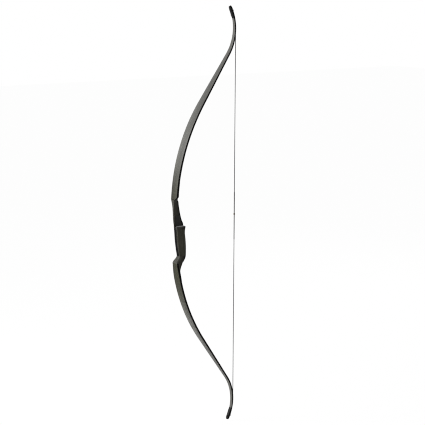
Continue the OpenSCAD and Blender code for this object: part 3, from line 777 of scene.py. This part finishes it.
def make_pads():
    """The felt pad on the shelf and the leather strike plate on the window's wall."""
    back, foot = -RISER_BACK + PAD_MARGIN, SHELF_Z + SHELF_PAD_T
    wall = WINDOW_PAST - STRIKE_T
    shelf = cut_pad("shelf_rug", (back, SHELF_PAD_INSET - SHELF_HALF_W, SHELF_Z),
                    (back + SHELF_PAD_LEN, wall - CLEARANCE, foot - PAD_CROWN),
                    Vector((0, 0, 1)), SHELF_PAD_CORNER)
    paint(shelf, FELT, "pad_felt")
    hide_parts("shelf_pad")
    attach(shelf, "riser")
    strike = cut_pad("strike_leather", (back, wall + PAD_CROWN, foot),
                     (back + STRIKE_LEN, WINDOW_PAST, foot + STRIKE_H), Vector((0, -1, 0)), STRIKE_CORNER)
    paint(strike, STRIKE, "strike_leather")
    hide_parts("strike_plate")
    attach(strike, "riser")


# The limbs: four long layers from the root to the tip
def groove_y(s, depth):
    """Half of the limb's width where the slanted nock grooves cut its edges."""
    middle = NOCK_S - (depth - NOCK_MIDDLE_D) * tan(NOCK_SLANT)
    off = (s - middle) * cos(NOCK_SLANT)
    if abs(off) >= GROOVE_R:
        return half_w(s)
    return min(half_w(s), LOOP_HALF_W - math.sqrt(GROOVE_R ** 2 - off ** 2))


def nose():
    """Places along the limb that follow its rounded end."""
    return [LIMB_LEN - TIP_ROUND_LEN * (1 - sin(a)) for a in range(6, 90, 6)] + [LIMB_LEN]


def limb_stations(first):
    """Places along the limb for its rings, closer where it bends and at the nock."""
    bend_from, bend_to, recurve = HINGE_S - BEND_HALF, HINGE_S + BEND_HALF, BEND_LEN + FLAT_LEN
    overlay = LIMB_LEN - OVERLAY_LEN
    stations = even(first, bend_from - 4, 6) + even(bend_from + 4, bend_to + 8, 18)
    stations += even(bend_to + 18, recurve, 24) + even(recurve + 8, overlay, 14)
    return stations + even(overlay + 2, LIMB_LEN - TIP_ROUND_LEN, 40) + nose()


LAYERS = (("back_glass", BACK_GLASS, "back_glass"), ("back_core", CORE, "core_wood"),
          ("belly_core", CORE, "core_wood"), ("belly_glass", BELLY_GLASS, "belly_glass"))


def layer_depths(k, s):
    surfaces = (0, GLASS_T, limb_t(s) / 2, limb_t(s) - GLASS_T, limb_t(s))
    return surfaces[k], surfaces[k + 1]


def make_limb(side, name):
    """The four layers as unbroken strips. Only the two glass facings have a rounded outer edge."""
    hinge_depth, cut_to = 3.5, 10
    for k, (layer, material, slot) in enumerate(LAYERS):
        over, under = GLASS_EDGE_R if k == 0 else SHARP_R, GLASS_EDGE_R if k == 3 else SHARP_R
        rings = []
        for s in limb_stations(0 if side == UPPER else LOWER_ROOT_S):
            top, bottom = layer_depths(k, s)
            far = min(layer_half_w(side, s), groove_y(s, (top + bottom) / 2))
            near = -far
            if side == UPPER and s < cut_to:
                near = max(near, window_y(limb_point(side, s, top).z))
            outline = rounded_outline(top, bottom, near, far, (under, over, over, under), 3)
            rings.append([limb_point(side, s, depth, y) for depth, y in outline])
        piece = lofted(f"{name}_{layer}_strip", rings, 35)
        paint(piece, material, slot)
        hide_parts(f"{name}_{layer}", f"{name}_root_{layer}")
        start = limb_point(side, HINGE_S - BEND_HALF, hinge_depth) * MM
        end = limb_point(side, HINGE_S + BEND_HALF, hinge_depth) * MM
        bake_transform(piece)


def overlay_height(s):
    """Height over the limb's back: a ramp, then a level with a round-lipped groove across it for the loop."""
    height = mix(FEATHER_T, OVERLAY_T, ease((s - LIMB_LEN + OVERLAY_LEN) / OVERLAY_RAMP))
    off = abs(s - CROSSING_S)
    if off < GROOVE_R:
        return height + GROOVE_R - NOCK_DEPTH - math.sqrt(GROOVE_R ** 2 - off ** 2)
    drop = (NOCK_DEPTH - GROOVE_R) * (1 - min(1, (off - GROOVE_R) / GROOVE_LIP)) ** 2
    return height - drop - OVERLAY_DROP * ease((s - LIMB_LEN + OVERLAY_DROP_LEN) / OVERLAY_DROP_LEN)


def make_overlay(side, name):
    """The tip overlay with its ramp, crowned back, cross groove and the slanted grooves in its sides."""
    start, groove = LIMB_LEN - OVERLAY_LEN, 2.3
    stations = even(start, start + OVERLAY_RAMP, 12)
    stations += even(start + OVERLAY_RAMP + 1, CROSSING_S - groove - 0.3, 20)
    stations += even(CROSSING_S - groove, CROSSING_S + groove, 24)
    stations += [s for s in nose() if s > CROSSING_S + groove + 0.2]
    rings = []
    for s in stations:
        height = overlay_height(s)
        r = min(height * 0.8, half_w(s) * 0.6)
        outline = rounded_outline(-height, 0, -half_w(s), half_w(s), (SHARP_R, r, r, SHARP_R), 6)
        ring = []
        for depth, y in outline:
            limit = groove_y(s, depth)
            ring.append(limb_point(side, s, depth, max(-limit, min(limit, y))))
        rings.append(ring)
    piece = lofted(f"{name}_tip", rings, 40)
    paint(piece, OVERLAY, "tip_overlay")
    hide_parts(f"{name}_tip_overlay")
    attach(piece, f"{name}_limb")


# The string: a loop in each nock, a served leg down each recurve, two laid halves and the centre serving
ACROSS = Vector((0, 1, 0))
CORD_SIDES, LOOP_SIDES = 12, 10


def circle(centre, first, second, radius, sides, run=None):
    """A ring round a centre, in the plane of two unit vectors, with the thread's ridges after a run of it."""
    ring = []
    for k in range(sides):
        ridge = 1 if run is None else abs(math.sin(math.pi * (run / WRAP + k / sides)))
        turn = 360 * k / sides
        ring.append(centre + (first * cos(turn) + second * sin(turn)) * (radius - WRAP_DEPTH * (1 - ridge)))
    return ring


def wound(centres, radius):
    """Rings round a line of points, ridged by the turns of the serving thread."""
    rings, run = [], 0
    for i, centre in enumerate(centres):
        before, after = centres[max(0, i - 1)], centres[min(len(centres) - 1, i + 1)]
        run += (centre - before).length
        out = (after - before).normalized().cross(ACROSS).normalized()
        rings.append(circle(centre, out, ACROSS, radius, CORD_SIDES, run))
    return rings


def round_end(centre, ahead, first, radius):
    """The rings of half a ball that closes a served length."""
    return [circle(centre + ahead * radius * cos(a), first, ACROSS, radius * sin(a), CORD_SIDES)
            for a in (15, 35, 55, 75)]


def loop_route():
    """The loop's middle line (across, outwards, heading): a rectangle with round corners, in short steps."""
    bend, step = SERVED_R + 0.5, 0.35
    flat_y, flat_e = LOOP_HALF_W - bend, LOOP_REACH - bend
    corners = []
    for k, (sy, se) in enumerate(((1, 1), (-1, 1), (-1, -1), (1, -1))):
        corners += [(sy * flat_y + bend * cos(turn), se * flat_e + bend * sin(turn), turn)
                    for turn in range(90 * k, 90 * k + 91, 15)]
    route = []
    for i, (y, e, turn) in enumerate(corners):
        next_y, next_e, next_turn = corners[(i + 1) % len(corners)]
        turned = (next_turn - turn + 180) % 360 - 180
        steps = max(1, round(math.hypot(next_y - y, next_e - e) / step))
        route += [(mix(y, next_y, j / steps), mix(e, next_e, j / steps), turn + turned * (j / steps))
                  for j in range(steps)]
    return route


def make_loop(side, name):
    """The string's loop: across the overlay in its groove, down both sides and together on the belly."""
    heading = limb_path(NOCK_S)[2] + NOCK_SLANT
    up = Vector((cos(heading), 0, -side * sin(heading)))
    normal = Vector((sin(heading), 0, side * cos(heading)))
    middle = limb_point(side, NOCK_S, NOCK_MIDDLE_D) + up * (NOCK_DEPTH / 2 / cos(NOCK_SLANT))
    route, rings, run = loop_route(), [], 0
    for i, (y, e, turn) in enumerate(route):
        run += math.hypot(y - route[i - 1][0], e - route[i - 1][1]) if i else 0
        out = ACROSS * cos(turn) + up * sin(turn)
        rings.append(circle(middle + ACROSS * y + up * e, out, normal, SERVED_R, LOOP_SIDES, run))
    loop = looped(f"{name}_loop", rings, 60)
    paint(loop, THREAD, "serving_thread")
    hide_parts(f"{name}_string_loop")
    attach(loop, f"{name}_limb")


def make_leg(side, name):
    """The served leg, rounded where it meets the loop, that lies along the recurve to where it leaves it."""
    centres = [limb_point(side, s, limb_t(s) + CLEARANCE + SERVED_R) for s in even(LEG_S, CREST_S, 240)]
    below = [centres[-1] - Vector((0, 0, side * z)) for z in even(0.25, LEG_BELOW_CREST, 47)]
    ahead = (centres[0] - centres[1]).normalized()
    cap = round_end(centres[0], ahead, -ahead.cross(ACROSS), SERVED_R)
    leg = lofted(f"{name}_leg", cap + wound(centres + below, SERVED_R), 60)
    paint(leg, THREAD, "serving_thread")
    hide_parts(f"{name}_end_serving")
    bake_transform(leg)


def make_half(side, name):
    """One half of the string: a rod with a valley between its strands, cut across and twisted into a lay."""
    first = NOCK_POINT_Z + side * (CENTRE_SERVING_HALF - SERVING_OVERLAP)
    last = MIDDLE_Z + side * (CREST_Z - STRING_BELOW_CREST)
    length, middle = abs(last - first), Vector((STRING_X, 0, (first + last) / 2)) * MM
    sides = 4 * STRANDS_SEEN
    bpy.ops.object.select_all(action="DESELECT")
    bpy.ops.mesh.primitive_cylinder_add(vertices=sides, radius=STRING_R * MM, depth=length * MM, location=middle)
    half = bpy.context.object
    half.name = f"{name}_strands"

    def is_valley(place, along):
        return abs(along.z) > 0.9 and round(math.atan2(place.y, place.x) / (2 * math.pi / sides)) % 4 == 2

    pick(half, "EDGE", is_valley)
    bpy.ops.transform.resize(value=(VALLEY_SHARE, VALLEY_SHARE, 1), center_override=middle)
    for _ in range(2):
        pick(half, "EDGE", lambda place, along: abs(along.z) > 0.9)
        bpy.ops.mesh.subdivide(number_cuts=19)
    bpy.ops.object.mode_set(mode="OBJECT")
    bpy.ops.object.modifier_add(type="SIMPLE_DEFORM")
    lay = half.modifiers[-1]
    lay.deform_method, lay.deform_axis, lay.angle = "TWIST", "Z", math.radians(360 * length / LAY_LEN)
    bpy.ops.object.modifier_apply(modifier=lay.name)
    bpy.ops.object.transform_apply(location=True, rotation=False, scale=False)
    outward(half, 60)
    paint(half, STRANDS, "string_strands")
    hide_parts(f"{name}_string")
    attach(half, f"{name}_string_half")


def make_centre_serving(side, name):
    """Half of the centre serving: round at the nocking point, tapered onto the bare string at its other end."""
    foot, first = Vector((STRING_X, 0, NOCK_POINT_Z)), Vector((-side, 0, 0))
    upwards = Vector((0, 0, side))
    centres = [foot + upwards * z for z in even(0, CENTRE_SERVING_HALF, 340)]
    taper = [circle(centres[-1] + upwards * z, first, ACROSS, r, CORD_SIDES)
             for z, r in ((0.6, 1.4), (1.2, 1.2), (1.6, 1.05))]
    rings = round_end(foot, -upwards, first, CENTRE_R) + wound(centres, CENTRE_R) + taper
    serving = lofted(f"{name}_middle_wrap", rings, 60)
    paint(serving, THREAD, "serving_thread")
    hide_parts(f"{name}_centre_serving")
    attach(serving, f"{name}_string_half")


def make_locator():
    """The nock locator, crimped on the serving: a rounded section spun into an open ring."""
    wall = LOCATOR_R - CENTRE_R - LOCATOR_GAP
    r, height = LOCATOR_R - wall / 2, NOCK_POINT_Z + LOCATOR_ABOVE_NOCK + LOCATOR_LEN / 2
    middle = Vector((STRING_X, 0, height))
    bpy.ops.object.select_all(action="DESELECT")
    bpy.ops.mesh.primitive_plane_add(
        size=MM, location=(middle + Vector((cos(LOCATOR_SLIT), sin(LOCATOR_SLIT), 0)) * r) * MM,
        rotation=(math.radians(90), 0, math.radians(LOCATOR_SLIT)))
    locator = bpy.context.object
    locator.name = "nock_ring"
    locator.scale = (wall, LOCATOR_LEN, 1)
    bpy.ops.object.transform_apply(location=True, rotation=True, scale=True)
    bpy.ops.object.mode_set(mode="EDIT")
    bpy.ops.mesh.select_all(action="SELECT")
    bpy.ops.mesh.bevel(offset=LOCATOR_EDGE_R * MM, segments=4, affect="VERTICES")
    bpy.ops.mesh.select_all(action="SELECT")
    bpy.ops.mesh.spin(steps=46, angle=math.radians(2 * LOCATOR_SLIT - 360), center=middle * MM, axis=(0, 0, 1))
    bpy.ops.object.mode_set(mode="OBJECT")
    outward(locator, 50)
    paint(locator, BRASS, "locator_brass")
    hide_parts("nock_locator")
    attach(locator, "upper_string_half")


make_riser()
make_grip()
make_pads()
for limb_side, limb_name in ((UPPER, "upper"), (LOWER, "lower")):
    make_limb(limb_side, limb_name)
    make_overlay(limb_side, limb_name)
    make_loop(limb_side, limb_name)
    make_leg(limb_side, limb_name)
    make_half(limb_side, limb_name)
    make_centre_serving(limb_side, limb_name)
make_locator()


# The studio: a white floor and surround, strip lamps at the target side and weak lamps at the other sides
FLOOR_SIZE, FLOOR_GAP = 24, 0.004
FLOOR_WHITE, FLOOR_GLOW = 1.035, 0.93
SURROUND = 0.35


def make_floor():
    """A white floor that still takes the bow's shadow: its glow is seen by the camera alone."""
    bpy.ops.object.select_all(action="DESELECT")
    bpy.ops.mesh.primitive_plane_add(size=FLOOR_SIZE, location=(0, 0, cad_low.z - FLOOR_GAP))
    floor = bpy.context.object
    floor.name = "floor"
    finish = Finish("floor_white", Base_Color=(0.8, 0.8, 0.8, 1), Roughness=0.9, Specular_IOR_Level=0.2)
    seen = finish.node("ShaderNodeLightPath", {}, {}, "Is Camera Ray")
    glow = finish.node("ShaderNodeEmission", {}, {"Color": (1, 1, 1, 1), "Strength": FLOOR_WHITE})
    shown = finish.nodes.new("ShaderNodeMixShader")
    finish.links.new((seen * FLOOR_GLOW).socket, shown.inputs[0])
    finish.links.new(finish.shader.outputs[0], shown.inputs[1])
    finish.links.new(glow.socket, shown.inputs[2])
    finish.links.new(shown.outputs[0], finish.nodes["Material Output"].inputs["Surface"])
    floor.data.materials.append(finish.material)


def make_surround():
    """A soft light from all round, which the camera and mirrored rays see as plain white."""
    world = bpy.data.worlds.new("surround")
    bpy.context.scene.world = world
    world.use_nodes = True
    nodes, links = world.node_tree.nodes, world.node_tree.links
    path = nodes.new("ShaderNodeLightPath")
    soft = nodes["Background"]
    soft.inputs["Color"].default_value = (1, 1, 1, 1)
    soft.inputs["Strength"].default_value = SURROUND
    white = nodes.new("ShaderNodeBackground")
    white.inputs["Color"].default_value = (1, 1, 1, 1)
    seen = path.outputs["Is Camera Ray"]
    for ray in ("Is Glossy Ray", "Is Transmission Ray"):
        either = nodes.new("ShaderNodeMath")
        either.operation = "MAXIMUM"
        links.new(seen, either.inputs[0])
        links.new(path.outputs[ray], either.inputs[1])
        seen = either.outputs[0]
    choose = nodes.new("ShaderNodeMixShader")
    links.new(seen, choose.inputs[0])
    links.new(soft.outputs[0], choose.inputs[1])
    links.new(white.outputs[0], choose.inputs[2])
    links.new(choose.outputs[0], nodes["World Output"].inputs["Surface"])


def lamp(name, place, aim, size, power):
    bpy.ops.object.light_add(type="AREA", location=place)
    light = bpy.context.object
    light.name = name
    light.data.shape = "RECTANGLE"
    light.data.size, light.data.size_y = size
    light.data.energy = power
    light.rotation_euler = (Vector(aim) - Vector(place)).to_track_quat("-Z", "Y").to_euler()


make_floor()
make_surround()
lamp("upper_strip", (-1.4, 0.9, 1.05), (0.02, 0, 0.42), (0.5, 1.0), 13)
lamp("lower_strip", (-1.4, 0.9, -0.25), (0.02, 0, -0.36), (0.5, 0.7), 15)
lamp("fill", (0.2, -3.0, 1.2), (0, 0, 0.05), (2.0, 2.0), 10)
lamp("sides_and_shaded_rear", (2.2, 1.2, 1.4), (0.1, 0, 0.05), (1.4, 1.8), 16)
